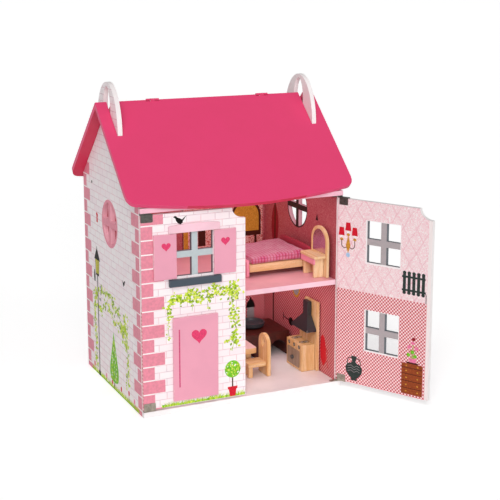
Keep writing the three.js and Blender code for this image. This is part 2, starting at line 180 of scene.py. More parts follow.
class Paint:
    """One material, with its pattern worked out from the place on the object in millimetres."""

    def __init__(self, name, roughness=0.5, metallic=0.0, coat=0.0, sheen=0.0):
        self.material = bpy.data.materials.new(name)
        self.material.use_nodes = True
        self.tree = self.material.node_tree
        self.shader = self.tree.nodes["Principled BSDF"]
        self.shader.inputs["Roughness"].default_value = roughness
        self.shader.inputs["Metallic"].default_value = metallic
        self.shader.inputs["Coat Weight"].default_value = coat
        self.shader.inputs["Coat Roughness"].default_value = 0.25
        self.shader.inputs["Sheen Weight"].default_value = sheen
        where = self.add("TexCoord")
        self.place = self.vector("MULTIPLY", where.outputs["Object"], (1 / MM, 1 / MM, 1 / MM))

    def add(self, kind):
        return self.tree.nodes.new(f"ShaderNode{kind}")

    def join(self, output, socket):
        self.tree.links.new(output, socket)

    def vector(self, operation, first, second):
        node = self.add("VectorMath")
        node.operation = operation
        self.join(first, node.inputs[0])
        if isinstance(second, (tuple, Vector)):
            node.inputs[1].default_value = second
        else:
            self.join(second, node.inputs[1])
        return node.outputs["Value"] if operation == "DOT_PRODUCT" else node.outputs["Vector"]

    def along(self, direction, origin=(0, 0, 0)):
        """Distance from origin along a direction."""
        reach = Num(self.tree, self.vector("DOT_PRODUCT", self.place, Vector(direction)))
        return reach - Vector(direction).dot(Vector(origin))

    def noise(self, size, detail=2.0, stretch=(1, 1, 1), distortion=0.0):
        """Soft noise from 0 to 1 whose lumps are about size across, longer where stretch is larger."""
        node = self.add("TexNoise")
        scale = tuple(1 / (size * s) for s in stretch)
        self.join(self.vector("MULTIPLY", self.place, scale), node.inputs["Vector"])
        node.inputs["Scale"].default_value = 1.0
        node.inputs["Detail"].default_value = detail
        node.inputs["Distortion"].default_value = distortion
        return Num(self.tree, node.outputs["Fac"])

    def pair(self, first, second, target):
        """Feeds two numbers to a node's vector."""
        join = self.add("CombineXYZ")
        self.join(first.socket, join.inputs[0])
        self.join(second.socket, join.inputs[1])
        self.join(join.outputs[0], target.inputs["Vector"])

    def chance(self, first, second):
        """A random number for each pair of whole numbers."""
        node = self.add("TexWhiteNoise")
        self.pair(first, second, node)
        return Num(self.tree, node.outputs["Value"])

    def cells(self, first, second, size):
        """Distance to the nearest of some scattered points, in the plane of two numbers."""
        node = self.add("TexVoronoi")
        self.pair(first, second, node)
        node.inputs["Scale"].default_value = 1 / size
        return Num(self.tree, node.outputs["Distance"])

    def mix(self, share, first, second):
        """Colour between first, at share 0, and second, at share 1. A colour is a hex code or a socket."""
        node = self.add("Mix")
        node.data_type = "RGBA"
        self.join(share.socket, node.inputs["Factor"])
        for slot, colour in ((6, first), (7, second)):
            if isinstance(colour, str):
                node.inputs[slot].default_value = linear(colour)
            else:
                self.join(colour, node.inputs[slot])
        return node.outputs[2]

    def finish(self, colour, height=None, depth=0.1, roughness=None):
        """Links the colour, the relief (depth in millimetres at height 1) and any roughness."""
        self.join(colour, self.shader.inputs["Base Color"])
        if roughness is not None:
            self.join(roughness.socket, self.shader.inputs["Roughness"])
        if height is not None:
            bump = self.add("Bump")
            bump.inputs["Strength"].default_value = 0.6
            bump.inputs["Distance"].default_value = depth * MM
            self.join(height.socket, bump.inputs["Height"])
            self.join(bump.outputs["Normal"], self.shader.inputs["Normal"])
        return self.material


def shade(code, factor):
    """A hex colour made darker (below 1) or lighter (above 1)."""
    parts = [min(255, round(int(code[i:i + 2], 16) * factor)) for i in (0, 2, 4)]
    return "".join(f"{p:02X}" for p in parts)


def wear(paint, low, high):
    """1 within about half a millimetre of a straight edge of the box from low to high, broken up by noise."""
    near = []
    for axis in range(3):
        direction = [0, 0, 0]
        direction[axis] = 1
        here = paint.along(direction)
        near.append((here - low[axis]).size().least((here - high[axis]).size()))
    a, b, c = near
    second = a.least(b).most(a.most(b).least(c))
    edge = second.ramp(0.25, 0.9).flip()
    return edge * paint.noise(7, 3).ramp(0.42, 0.7)


# ---------------------------------------------------------------- materials

def painted(name, colour, worn_box=None, mottling=0.022):
    """Sprayed paint on wood: faint mottling, orange peel, and thin spots along worn edges."""
    paint = Paint(name, coat=0.15)
    mottle = paint.noise(38, 3).ramp(0.3, 0.7)
    tone = paint.mix(mottle, shade(colour, 1 - mottling), shade(colour, 1 + mottling))
    fleck = paint.noise(0.9, 1).ramp(0.68, 0.8)
    tone = paint.mix(fleck * 0.1, tone, shade(colour, 1.12))
    if worn_box:
        tone = paint.mix(wear(paint, *worn_box) * 0.55, tone, "F3DFD2")
    grain = paint.noise(3.2, 3, stretch=(9, 1, 1))
    peel = paint.noise(0.8, 2) * 0.6 + grain * 0.4
    return paint.finish(tone, peel, 0.12, paint.noise(16, 2) * 0.16 + 0.34)


def wood(name, direction, light=WOOD_LIGHT, dark=WOOD_DARK, roughness=0.52):
    """Clear-varnished beech or rubberwood with grain along a direction."""
    paint = Paint(name, coat=0.12)
    stretch = tuple(1 + 13 * abs(c) for c in direction)
    bands = paint.noise(7, 3, stretch, 0.6)
    fine = paint.noise(0.9, 3, stretch)
    pores = paint.noise(0.45, 1, tuple(1 + 7 * abs(c) for c in direction)).ramp(0.62, 0.72)
    tone = paint.mix(bands.ramp(0.3, 0.72), light, shade(dark, 1.06))
    tone = paint.mix(fine.ramp(0.35, 0.75) * 0.5, tone, dark)
    tone = paint.mix(pores * 0.45, tone, shade(dark, 0.72))
    relief = fine * 0.5 + pores * -0.5
    return paint.finish(tone, relief, 0.16, fine * 0.2 + (roughness - 0.1))


def metal(name, colour):
    """Pressed and plated steel with brushed scratches and dull patches."""
    paint = Paint(name, metallic=0.85)
    brushed = paint.noise(0.5, 3, stretch=(18, 1, 1))
    patches = paint.noise(6, 3).ramp(0.35, 0.75)
    tone = paint.mix(patches * 0.7, colour, shade(colour, 0.72))
    tone = paint.mix(brushed.ramp(0.5, 0.8) * 0.3, tone, shade(colour, 1.25))
    return paint.finish(tone, brushed, 0.03, brushed * 0.2 + patches * 0.15 + 0.23)


def ink(name, colour, second=None):
    """Screen-printed ink: slightly uneven cover, a second tone in blotches where given."""
    paint = Paint(name)
    paint.shader.inputs["Specular IOR Level"].default_value = 0.2
    cover = paint.noise(2.2, 3)
    tone = paint.mix(cover.ramp(0.3, 0.7), shade(colour, 0.94), shade(colour, 1.05))
    if second:
        tone = paint.mix(paint.noise(1.5, 2).ramp(0.5, 0.56), tone, second)
    return paint.finish(tone, cover, 0.02, cover * 0.15 + 0.42)


def within(u, v, area):
    """1 inside a rectangle (u0, u1, v0, v1)."""
    u0, u1, v0, v1 = area
    return (u > u0) * (u < u1) * (v > v0) * (v < v1)


BRICK = 22
JOINT_EDGES = (0.8, 0.3)
SHORT_STONE = 16
STONE_GAP = 0.95


def brick_wall(name, u_axis, u_origin, quoin_sides, porthole=None, panes=(), first_row=FIRST_ROW):
    """White brickwork with pink corner stones. u runs along the wall, and quoin_sides holds pairs of an
    edge's place in u and the way into the wall. porthole is the (u, v) of a round window, which has a pink
    surround, and panes are the (u0, u1, v0, v1) of windows with grey bars."""
    paint = Paint(name, coat=0.1)
    u = paint.along(u_axis, u_origin)
    v = paint.along((0, 0, 1))
    course = ROW / 2
    row = ((v - first_row) / course).floor()
    shifted = u + row.wrap(2.0) * (BRICK / 2)
    brick = (shifted / BRICK).floor()
    to_joint_u = (shifted.wrap(BRICK) - BRICK / 2).size()
    to_joint_v = ((v - first_row).wrap(course) - course / 2).size()
    wobble = paint.noise(5, 2) * 0.3 - 0.15
    soft, hard = JOINT_EDGES
    upright = (to_joint_u + wobble).ramp(BRICK / 2 - soft, BRICK / 2 - hard)
    level = (to_joint_v + wobble).ramp(course / 2 - soft, course / 2 - hard)
    joint = upright.most(level)
    tint = paint.chance(brick, row)
    tone = paint.mix(tint.ramp(0.2, 1.0) * 0.5, BRICK_WHITE, "F8E4EA")
    tone = paint.mix(paint.noise(9, 3).ramp(0.5, 0.75) * 0.25, tone, "F3E6F1")
    patchy = paint.noise(12, 2).ramp(0.25, 0.6) * 0.45 + 0.5
    joint_tone = paint.mix(paint.noise(16, 1).ramp(0.4, 0.6), JOINT_GREY, "EDC9CF")
    tone = paint.mix(joint * patchy, tone, joint_tone)
    big = ((v - first_row) / ROW).floor()
    wide = big.wrap(2.0)
    for edge, way in quoin_sides:
        reach = (u - edge) * way
        length = wide * SHORT_STONE + SHORT_STONE
        inside = (reach < length) * (reach > -5)
        tone = paint.mix(inside, tone, "FCF1F1")
        across = ((v - first_row).wrap(ROW) - ROW / 2).size() < (ROW / 2 - STONE_GAP)
        stone = inside * across * (reach < (length - 0.1))
        stone_tint = paint.mix(paint.noise(4, 4).ramp(0.3, 0.7), shade(QUOIN, 0.97), shade(QUOIN, 1.04))
        tone = paint.mix(stone, tone, stone_tint)
    if porthole:
        du = u - porthole[0]
        dv = v - porthole[1]
        ring = (du * du + dv * dv) < (PORTHOLE_R + 4.5) ** 2
        tone = paint.mix(ring, tone, paint.mix(paint.noise(5, 3), shade(QUOIN, 0.97), shade(QUOIN, 1.05)))
    for area in panes:
        tone = paint.mix(within(u, v, area), tone, paint.mix(paint.noise(6, 3), "B4C0C4", "C3CBCD"))
    cover = paint.noise(1.1, 2)
    return paint.finish(tone, cover * 0.5 + joint * -0.4, 0.05, cover * 0.16 + 0.4)


DOOR_TONES = ("F6CCD3", "EDB9C3", "FFFBF9", "F3D2D8", "FFF5F4", "F49FA6", "A61E30")
# The rooms' tones are the doors' print made darker and deeper, as painted shade on the rooms' inner walls.
SHADED_ROOM_TONES = ("AC3C4A", "BA5C65", "C4777A", "9E3542", "E4ABAC", "CF525E", "902230")
PAPER_TOP = 304


def wallpaper(name, u_axis, u_origin, tones=SHADED_ROOM_TONES, free_edge=None, frames=(), porthole=None):
    """Inner wall print: damask in a lattice upstairs, a small red check downstairs. tones holds the damask's
    ground, lines, dots and specks, then the check's light, middle and dark. free_edge is the u where a white
    margin starts, and frames holds the windows' (u0, u1, v0, v1) with white surrounds."""
    ground, line_tone, dot_tone, speck, check_light, check_mid, check_dark = tones
    paint = Paint(name, coat=0.1)
    u = paint.along(u_axis, u_origin)
    v = paint.along((0, 0, 1))
    curl = paint.noise(8.5, 2, distortion=1.6)
    lines = ((curl * 9).wrap(1.0) - 0.5).size().ramp(0.2, 0.34)
    dots = paint.cells(u, v, 4.2).ramp(0.2, 0.3).flip()
    tiny = paint.cells(u + 2.1, v + 1.3, 2.1).ramp(0.2, 0.34).flip()
    tone = paint.mix(tiny * 0.4, ground, speck)
    tone = paint.mix(lines * 0.72, tone, dot_tone)
    sway = paint.noise(11, 1) * 5 - 2.5
    lattice_period = 22
    for lean in (0.62, -0.62):
        to_line = ((u + v * lean + sway).wrap(lattice_period) - lattice_period / 2).size()
        tone = paint.mix((to_line + curl * 2.4).ramp(1.5, 2.8).flip() * 0.6, tone, line_tone)
    tone = paint.mix(dots * 0.7, tone, dot_tone)
    half = 1.35
    a = (u + v) / 2
    b = (u - v) / 2
    in_a = a.wrap(2 * half) < half
    in_b = b.wrap(2 * half) < half
    check = paint.mix(in_a.most(in_b), check_light, check_mid)
    check = paint.mix(in_a * in_b, check, check_dark)
    tone = paint.mix(v > FLOOR_LINE, check, tone)
    tone = paint.mix(v > PAPER_TOP, tone, WHITE)
    for u0, u1, v0, v1 in frames:
        border = 2.6
        inside = within(u, v, (u0 - border, u1 + border * 0.4, v0 - border, v1 + border * 0.3))
        bars = within(u, v, (u0, u1, v0, v1))
        tone = paint.mix(inside, tone, "FAF4F4")
        tone = paint.mix(bars, tone, "B2AAAC")
    if porthole:
        du = u - porthole[0]
        dv = v - porthole[1]
        tone = paint.mix((du * du + dv * dv) < (PORTHOLE_R + 2.5) ** 2, tone, "1C1517")
    if free_edge is not None:
        tone = paint.mix(u > free_edge, tone, "F8EDEC")
    cover = paint.noise(1.1, 2)
    return paint.finish(tone, cover, 0.04, cover * 0.16 + 0.42)


def check_cloth(name, centre):
    """Woven pink and white gingham, as on the mattress."""
    paint = Paint(name, roughness=0.85, sheen=0.4)
    u = paint.along((1, 0, 0), centre)
    v = paint.along((0, 1, 0), centre) + paint.along((0, 0, 1), centre)
    period = 5.2
    warp = (u.wrap(period) - period / 2).size().ramp(period * 0.23, period * 0.27)
    weft = (v.wrap(period) - period / 2).size().ramp(period * 0.23, period * 0.27)
    tone = paint.mix(warp, "E07AA6", "D02E66")
    tone = paint.mix(weft * 0.5, tone, "AE184A")
    thread_u = (u.wrap(0.62) - 0.31).size() / 0.31
    thread_v = (v.wrap(0.62) - 0.31).size() / 0.31
    over = ((u / 0.62).floor() + (v / 0.62).floor()).wrap(2.0)
    weave = thread_u * over + thread_v * over.flip()
    tone = paint.mix(weave * 0.28, tone, "A52C63")
    tone = paint.mix(paint.noise(14, 2).ramp(0.3, 0.8) * 0.15, tone, "FFFFFF")
    return paint.finish(tone, weave.flip(), 0.25)


def mirror(name):
    """Foil mirror sheet with a faint haze and ripple. Its pink-mauve colour is a painted reflection of the
    pink room, laid over the real metallic reflection.
    """
    paint = Paint(name, metallic=0.9)
    haze = paint.noise(18, 3)
    tone = paint.mix(haze.ramp(0.3, 0.7), "C79CB4", "DDB9C8")
    return paint.finish(tone, paint.noise(11, 1), 0.06, haze * 0.12 + 0.1)


# ---------------------------------------------------------------- printed figures

PRINT_FOOT = 0.03
PRINT_TOP = 0.1
LAYER_STEP = 0.06
STAGGER = 0.0013
STAGGER_STEPS = 45


def add_piece(name, mesh, materials, body, slot):
    """New object from a bmesh, which rides on a body. slot is not used."""
    data = bpy.data.meshes.new(name)
    mesh.to_mesh(data)
    mesh.free()
    for material in materials:
        data.materials.append(material)
    piece = link(name, data)
    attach(piece, body)


class Print:
    """Figures of ink on one flat face, each a thin closed slab. u runs along u_axis and v runs up."""

    def __init__(self, name, origin, u_axis, out, body, slot):
        self.name = name
        self.origin = Vector(origin)
        self.u_axis = Vector(u_axis)
        self.out = Vector(out)
        self.body = body
        self.slot = slot
        self.mesh = bmesh.new()
        self.inks = []
        self.count = 0

    def point(self, u, v, height):
        return (self.origin + self.u_axis * u + Vector((0, 0, v)) + self.out * height) * MM

    def fill(self, outline, ink_material, layer=0):
        """One closed slab with this outline. A higher layer stands a little prouder. Neighbours in a layer
        end at slightly different heights, so that no two tops lie in one plane."""
        if ink_material not in self.inks:
            self.inks.append(ink_material)
        number = self.inks.index(ink_material)
        self.count += 1
        top = PRINT_TOP + LAYER_STEP * layer + STAGGER * (self.count % STAGGER_STEPS)
        low = [self.mesh.verts.new(self.point(u, v, PRINT_FOOT)) for u, v in outline]
        high = [self.mesh.verts.new(self.point(u, v, top)) for u, v in outline]
        faces = []
        flat = [Vector((u, v, 0)) for u, v in outline]
        for a, b, c in tessellate_polygon([flat]):
            faces.append(self.mesh.faces.new((low[a], low[b], low[c])))
            faces.append(self.mesh.faces.new((high[c], high[b], high[a])))
        count = len(outline)
        for i in range(count):
            j = (i + 1) % count
            faces.append(self.mesh.faces.new((low[i], low[j], high[j], high[i])))
        for face in faces:
            face.material_index = number
        bmesh.ops.recalc_face_normals(self.mesh, faces=faces)

    def place(self):
        """Makes the object and lets it ride on its body."""
        add_piece(self.name, self.mesh, self.inks, self.body, self.slot)


def oval(u, v, ru, rv=None, count=20, start=0.0, turn=2 * math.pi):
    rv = ru if rv is None else rv
    steps = count if turn >= 2 * math.pi else count + 1
    return [(u + ru * math.cos(start + turn * i / count), v + rv * math.sin(start + turn * i / count))
            for i in range(steps)]


def rect(u0, u1, v0, v1):
    return [(u0, v0), (u1, v0), (u1, v1), (u0, v1)]


def heart(u, v, width, height):
    """Heart whose middle is at u, v."""
    out = []
    for i in range(28):
        t = 2 * math.pi * i / 28
        x = math.sin(t) ** 3
        y = (13 * math.cos(t) - 5 * math.cos(2 * t) - 2 * math.cos(3 * t) - math.cos(4 * t) + 2.6) / 14.6
        out.append((u + x * width / 2, v + y * height / 2))
    return out


def stroke(points, width, end_width=None):
    """Outline of a ribbon along points."""
    end_width = width if end_width is None else end_width
    left, right = [], []
    last = len(points) - 1
    for i, (u, v) in enumerate(points):
        before = points[max(i - 1, 0)]
        after = points[min(i + 1, last)]
        du, dv = after[0] - before[0], after[1] - before[1]
        reach = math.hypot(du, dv) or 1
        half = (width + (end_width - width) * i / max(last, 1)) / 2
        left.append((u - dv / reach * half, v + du / reach * half))
        right.append((u + dv / reach * half, v - du / reach * half))
    return left + right[::-1]


def leaf(u, v, angle, length, width):
    """Pointed leaf from its stem end."""
    c, s = math.cos(angle), math.sin(angle)
    shape = ((0, 0), (0.3, 0.42), (0.62, 0.46), (1, 0), (0.62, -0.46), (0.3, -0.42))
    return [(u + c * a * length - s * b * width, v + s * a * length + c * b * width) for a, b in shape]


def bird(u, v, size, way=1):
    """Small perching bird in profile, with its beak towards -u when way is 1."""
    shape = ((-0.5, 0.22), (-0.41, 0.31), (-0.3, 0.31), (-0.2, 0.2), (0.0, 0.12), (0.16, 0.02), (0.5, 0.3),
             (0.22, -0.1), (0.2, -0.22), (0.06, -0.3), (0.04, -0.4), (0.0, -0.29), (-0.14, -0.24),
             (-0.28, -0.06), (-0.36, 0.16))
    return [(u + way * a * size, v + b * size) for a, b in shape]


def smooth_path(points, steps=6):
    """Points of a Catmull-Rom curve through a few given ones."""
    ends = [points[0], *points, points[-1]]
    out = []
    for i in range(1, len(ends) - 2):
        p = [Vector(ends[k]) for k in range(i - 1, i + 3)]
        for s in range(steps):
            t = s / steps
            q = (p[1] * 2 + (p[2] - p[0]) * t + (p[0] * 2 - p[1] * 5 + p[2] * 4 - p[3]) * t * t
                 + (p[1] * 3 - p[0] - p[2] * 3 + p[3]) * t ** 3) / 2
            out.append((q.x, q.y))
    out.append(tuple(points[-1]))
    return out


def foliage(board, stems, leaf_inks, stem_ink, per_mm, spread, size):
    """Climbing plant: a thin stem along each curve with small leaves either side."""
    for stem in stems:
        line = smooth_path(stem)
        board.fill(stroke(line, 0.7, 0.4), stem_ink)
        total = sum(math.dist(a, b) for a, b in zip(line, line[1:]))
        for _ in range(int(total * per_mm)):
            a = random.randrange(len(line) - 1)
            t = random.random()
            u = line[a][0] + (line[a + 1][0] - line[a][0]) * t + random.gauss(0, spread)
            v = line[a][1] + (line[a + 1][1] - line[a][1]) * t + random.gauss(0, spread)
            length = size * random.uniform(0.75, 1.35)
            board.fill(leaf(u, v, random.uniform(0, 2 * math.pi), length, length * 0.6),
                       random.choice(leaf_inks), 1)


def grass(board, u0, u1, base, height, inks):
    """Row of blades on a low ragged strip."""
    count = int((u1 - u0) / 1.1)
    top = [(u0 + (u1 - u0) * i / count, base + height * random.uniform(0.25, 0.5)) for i in range(count + 1)]
    board.fill([(u1, base), (u0, base)] + top, inks[0])
    for i in range(count * 2):
        u = random.uniform(u0, u1)
        tall = height * random.uniform(0.5, 1.0)
        lean = random.uniform(-2.2, 2.2)
        board.fill([(u - 0.45, base + 0.3), (u + 0.45, base + 0.3), (u + lean, base + tall)],
                   inks[1 + i % (len(inks) - 1)], 1)


# ---------------------------------------------------------------- inks

black = ink("ink_black", INK_BLACK)
soft_black = ink("ink_dark_grey", "33403D", "2A3431")
red = ink("ink_red", RED)
deep_red = ink("ink_deep_red", "8F1A28", "A02534")
gold = ink("ink_gold", "C88A30", "D89E3C")
brown = ink("ink_brown", "8E3F1C", "A24E24")
dark_brown = ink("ink_dark_brown", "4A1E14")
sky = ink("ink_pale_blue", "A9CDEB")
grey = ink("ink_grey", "8F8A8C", "A59EA0")
heart_ink = ink("ink_heart_pink", HEART)
line_pink = ink("ink_line_pink", "D2527C")
leaves = [ink(f"ink_leaf_{i}", colour) for i, colour in enumerate(LEAF)]
stem_green = ink("ink_stem", "93AE3E")
bush_green = ink("ink_bush", GREEN, "8ED23C")
white_ink = ink("ink_white", "FBF6F4")
pink_ink = ink("ink_flower_pink", "EE7FA6")
floral = ink("ink_floral", "EFC0B8", "C4453F")
lamp_glass = ink("ink_lamp_glass", "C9C13A", "DDD66A")


def left_door_prints():
    board = Print("left_door_print", (0, FRONT_Y, 0), (1, 0, 0), (0, -1, 0), "left_door", "brick_board")
    board.fill(bird(-102, 286.5, 20), black, 1)
    hanging = [
        [(-120, 112.6), (-122, 130), (-120.7, 144.5)],
        [(-85, 167), (-84, 159), (-85, 151)],
        [(-60, 163), (-61, 157), (-59, 151)],
        [(-22, 82.7), (-20, 92)],
    ]
    foliage(board, hanging, leaves, stem_green, 0.35, 1.1, 3.4)
    thick = [
        [(-121, 142), (-122, 160), (-112, 172), (-97, 170), (-85, 175), (-70, 167), (-50, 172), (-36, 170),
         (-20, 174), (-12, 170)],
        [(-112, 177), (-97, 168), (-84, 181), (-74, 168)],
        [(-66, 176), (-46, 183), (-34, 176), (-20, 183), (-12, 172)],
        [(-20, 172), (-22, 156), (-17, 142), (-20, 131), (-15, 117), (-17, 104), (-13, 92)],
        [(-17, 106), (-24, 101), (-31, 98)],
    ]
    foliage(board, thick, leaves, stem_green, 1.15, 3.1, 4.6)
    grass(board, -133, -1.5, 12, 9, [bush_green, *leaves])
    board.fill(rect(-22.5, -20.5, 26, 43), dark_brown, 1)
    bush = (-21.3, 54.5)
    board.fill(oval(*bush, 12.6, 13.2, 26), bush_green, 1)
    for _ in range(70):
        angle, reach = random.uniform(0, 2 * math.pi), 11.5 * math.sqrt(random.random())
        u = bush[0] + reach * math.cos(angle)
        v = bush[1] + reach * math.sin(angle)
        board.fill(leaf(u, v, random.uniform(0, 6.3), 2.6, 1.7),
                   random.choice([*leaves, leaves[1], white_ink]), 2)
    board.fill([(-29.5, 27.5), (-13.5, 27.5), (-14.2, 23.6), (-15.5, 23.4), (-17, 12.6), (-26, 12.6),
                (-27.5, 23.4), (-28.8, 23.6)], red, 2)
    board.place()
    low = span("left_shutter_outer")[0]
    shutters = Print("shutter_hearts", (0, low.y, 0), (1, 0, 0), (0, -1, 0), "left_door", "pink_board")
    for u, v in ((-124.5, 249.5), (-33.5, 249.5)):
        shutters.fill(heart(u, v, 14, 12.5), heart_ink)
    shutters.place()
    low = span("front_door_panel")[0]
    panel = Print("front_door_figures", (0, low.y, 0), (1, 0, 0), (0, -1, 0), "left_door", "pink_board")
    panel.fill(heart(-75.5, 112.5, 24, 22), heart_ink)
    panel.fill(rect(-107.2, -105.2, 40, 127), line_pink)
    panel.place()


def left_gable_prints():
    board = Print("left_gable_print", (-OUTER_X, 0, 0), (0, 1, 0), (-1, 0, 0), "house", "brick_board")
    ivy = [
        [(86, 10), (84, 50), (88, 90), (84, 120), (82, 140)],
        [(80, 132), (60, 143), (33, 145), (3, 143), (-8, 132)],
        [(70, 118), (54, 110), (34, 128), (10, 124)],
        [(10, 126), (-8, 112), (-30, 110), (-46, 108), (-58, 112)],
        [(-14, 128), (-26, 133), (-34, 118)],
        [(-56, 134), (-58, 112), (-69, 121)],
        [(-56, 112), (-47, 95), (-60, 92), (-64, 79), (-66, 51), (-64, 22)],
    ]
    foliage(board, ivy, leaves, stem_green, 0.85, 3.4, 5.2)
    grass(board, -112, 108, 0.6, 8, [bush_green, *leaves])
    for y, z in ((37, 8), (-33, 9), (-68, 14), (96, 10), (-92, 9), (8, 7)):
        board.fill(stroke([(y, 1), (y, z)], 0.8), stem_green, 1)
        board.fill(oval(y, z + 3, 2.6, 4.2, 10), random.choice([red, pink_ink]), 2)
    board.fill(rect(69.2, 71.8, 0.6, 166), black, 2)
    board.fill(rect(67, 74, 0.6, 8), black, 2)
    board.fill([(64, 166), (77, 166), (80, 190), (61, 190)], lamp_glass, 2)
    for a, b in ((64, 61), (77, 80), (70.5, 70.5)):
        board.fill(stroke([(a, 165), (b, 191)], 1.2), black, 3)
    board.fill(rect(63, 78, 164, 167), black, 3)
    board.fill([(57, 189), (84, 189), (75, 203), (72, 206), (71, 211), (70, 206), (67, 203)], black, 3)
    board.fill([(82, 152), (86, 152), (88, 160), (86, 170), (83, 172), (81, 160)], soft_black, 2)
    for y, z in ((58, 148), (56, 138), (58, 128)):
        board.fill(oval(y, z, 2.2, 3, 8), grey, 2)
    board.fill(rect(-3.2, -0.8, 0.6, 18), dark_brown, 1)
    cypress = [(-2, 92), (-7, 76), (-14, 56), (-20, 38), (-21.5, 24), (-17, 15), (-2, 12), (13, 15), (18, 24),
               (16.5, 38), (10, 56), (3, 76)]
    board.fill(smooth_path([*cypress, cypress[0]], 3)[:-1], bush_green, 1)
    for _ in range(120):
        z = 14 + 66 * random.random() ** 1.5
        half = 17 * (1 - (z - 14) / 78)
        board.fill(leaf(-2 + random.uniform(-half, half), z, random.uniform(0.6, 2.5), 4, 2.2),
                   random.choice([*leaves, white_ink]), 2)
    board.fill(bird(-15, 366, 17, -1), black)
    board.fill(bird(-54, 182, 15), black)
    board.fill([(62, 250), (69, 250), (68, 259), (70, 263), (66, 266), (61, 262), (63, 258)], red)
    board.place()


def right_door_prints(u_axis, out, origin):
    board = Print("right_door_print", origin, u_axis, out, "right_door", "wall_paper_board")
    for u, v in ((5.5, 247), (17, 255), (28.5, 248.5)):
        board.fill([(u - 4, v + 6), (u + 3.4, v + 6), (u + 5, v - 6.5), (u - 5.4, v - 6.5)], red)
        board.fill(rect(u - 2.2, u + 2.2, v - 10, v - 6.5), white_ink)
        board.fill(oval(u, v - 12.5, 3, 2.2, 10), gold)
    for end in (5.5, 28.5):
        way = 1 if end > 17 else -1
        arm = smooth_path([(17, 226), (17 + 6 * way, 221.5), (17 + 11 * way, 225), (end, 234)])
        board.fill(stroke(arm, 1.1), dark_brown, 1)
    board.fill([(13, 226), (17, 242), (21, 226), (18.5, 218), (15.5, 218)], gold, 1)
    board.fill(rect(16.2, 17.8, 214, 240), gold, 1)
    board.fill(oval(17, 211.5, 3.4, 3.6, 14), sky, 1)
    for i in range(5):
        u = 111.5 + 7.8 * i
        board.fill(rect(u, u + 5, 170, 199), soft_black)
        board.fill(oval(u + 2.5, 199.5, 3, 2.6, 10), soft_black)
        board.fill(oval(u + 2.5, 169.5, 3, 2.6, 10), soft_black)
    board.fill(rect(110, 148.5, 192, 195), soft_black, 1)
    board.fill(rect(110, 149.5, 172, 175), soft_black, 1)
    board.fill(stroke([(149, 173), (150.2, 170), (150.2, 158)], 1.1), soft_black, 1)
    vase = [(25.5, 55), (36, 55), (35, 51.5), (33.6, 46), (36, 43.5), (42, 41.5), (45.5, 36), (44.5, 29),
            (39, 22), (35, 19), (37.5, 16), (24.5, 16), (27, 19), (22.5, 22), (17, 29), (15.8, 36),
            (19, 41.5), (25, 43.5), (27.6, 46), (26.4, 51.5)]
    board.fill(vase, soft_black)
    middle = 30.7
    for way in (-1, 1):
        handle = smooth_path([(middle + way * u, v) for u, v in ((4, 51.5), (9, 51), (11.5, 46), (11, 40))])
        board.fill(stroke(handle, 1.3), soft_black)
    for v in (30, 34, 38):
        board.fill(stroke([(20, v), (26, v + 2), (31, v - 1), (36, v + 2), (41, v)], 0.7), grey, 1)
    board.fill(rect(113, 148, 15, 62.5), brown)
    for v in (24, 35, 46, 55.5):
        board.fill(rect(114, 147, v, v + 0.9), dark_brown, 1)
    for v in (19.5, 29.5, 40.5, 51, 59):
        for u in (121, 140):
            board.fill(oval(u, v, 1.5, 1.1, 10), gold, 1)
    board.fill(rect(121, 140, 62.5, 65), dark_brown, 1)
    board.fill([(126, 65), (136, 65), (137, 71), (125, 71)], pink_ink, 1)
    blooms = ((130.5, 81, bush_green), (124, 76, bush_green), (135, 75, bush_green), (131, 95, pink_ink),
              (125, 88, pink_ink), (137, 87, pink_ink), (132, 101, deep_red))
    for u, v, shape_ink in blooms:
        board.fill(stroke([(131, 70), (u, v)], 0.6), stem_green)
        board.fill(oval(u, v, 3.2, 2.8, 9), shape_ink, 1)
    board.place()


def back_wall_prints():
    board = Print("back_wall_print", (0, BACK_Y - WALL, 0), (1, 0, 0), (0, -1, 0), "house",
                  "wall_paper_board")
    board.fill(rect(4, 149, 170, 297), floral)
    board.fill(rect(3, 4.6, 170, 250), dark_brown, 1)
    board.fill(rect(5, 13, 170, 232), gold, 1)
    board.fill(rect(16, 19, 170, 232), black, 1)
    board.fill(rect(31, 44, 179, 214), dark_brown, 1)
    board.fill([(91, 189), (146, 189)] + oval(118.5, 222, 27.5, 30, 18, 0, math.pi), dark_brown, 1)
    board.fill([(95, 197), (142, 197)] + oval(118.5, 222, 23.5, 25, 18, 0, math.pi), gold, 2)
    for u in (98, 136):
        board.fill(rect(u - 2, u + 2, 171, 190), dark_brown, 2)
    board.fill([(119, 36), (135, 36), (133, 62), (121, 62)], grey)
    board.fill([(118, 62), (136, 62), (133, 72), (129, 76), (128, 80), (126, 80), (125, 76), (121, 72)],
               black, 1)
    board.fill(rect(20, 24, 60, 134), dark_brown)
    board.fill(oval(22, 134, 10, 14), dark_brown)
    board.fill(oval(22, 134, 7, 10), deep_red, 1)
    board.place()


